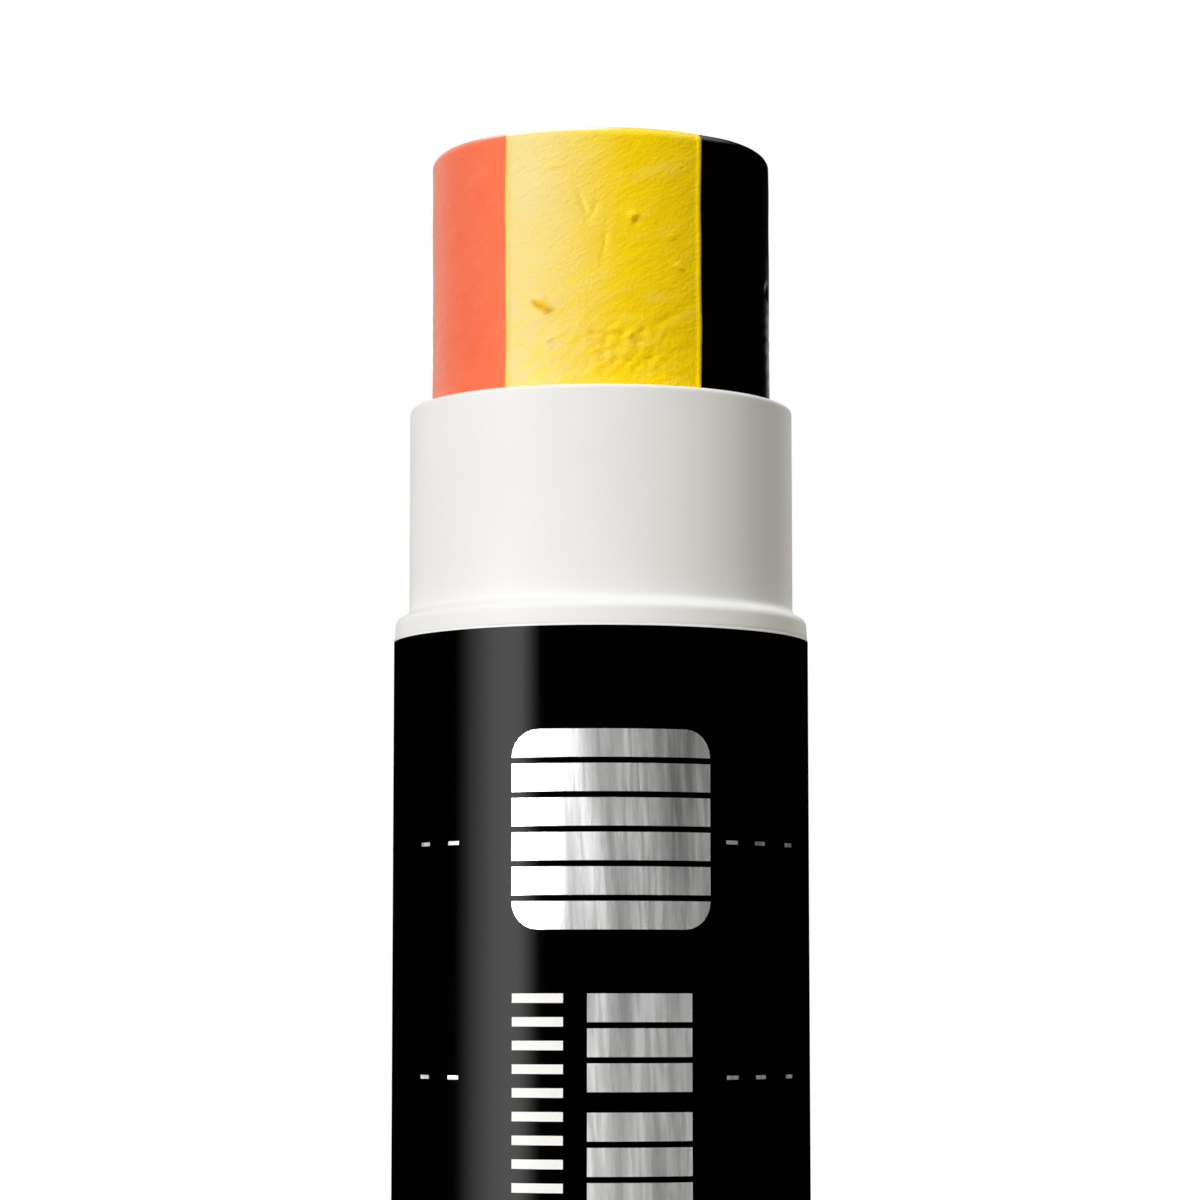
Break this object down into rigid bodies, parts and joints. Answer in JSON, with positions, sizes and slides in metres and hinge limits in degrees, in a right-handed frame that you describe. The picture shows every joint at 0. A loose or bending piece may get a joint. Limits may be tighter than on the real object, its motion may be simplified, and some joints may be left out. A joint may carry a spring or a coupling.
{
  "type": "solid paint marker",
  "caption": "Twist-up solid paint marker with its cap off: a striped paint stick stands out of a white barrel with a dark label, and a fluted knob and screw raise it.",
  "frame": {"origin": "centre of the knob's underside, on which the marker stands", "axes": "+Z along the marker towards the paint, -Y is the printed front, red paint towards -X and black paint towards +X"},
  "size_m": [0.02, 0.02, 0.1222],
  "materials": {
    "white_plastic": "smooth satin moulding, slightly warm white",
    "black_film": "black printed film with a soft sheen",
    "grey_plastic": "plain moulding",
    "natural_plastic": "uncoloured moulding",
    "black_rubber": "soft matt rubber",
    "red_paint": "cast solid paint, waxy, with faint diagonal smears",
    "yellow_paint": "cast solid paint, waxy, with smears, pits and small lumps",
    "black_paint": "cast solid paint, waxy"
  },
  "bodies": {
    "barrel_body": {"barrel": "white_plastic", "label_film": "black_film", "bearing_insert": "grey_plastic"},
    "knob_body": {"knob": "white_plastic", "knob_end_plug": "white_plastic", "spindle": "natural_plastic", "seal_ring": "black_rubber"},
    "carrier_body": {"carrier": "natural_plastic", "paint_red": "red_paint", "paint_yellow": "yellow_paint", "paint_black": "black_paint"}
  },
  "joints": [
    {"name": "knob_twist", "type": "hinge", "parent": "barrel_body", "child": "knob_body", "pos_m": [0, 0, 0], "axis": [0, 0, 1], "range_deg": [-834, 2538]},
    {"name": "paint_rise", "type": "slide", "parent": "barrel_body", "child": "carrier_body", "axis": [0, 0, 1], "range_m": [-0.0139, 0.0423]}
  ],
  "couplings": [
    {"joint": "paint_rise", "follows": "knob_twist", "m_per_rad": 0.00095493}
  ]
}
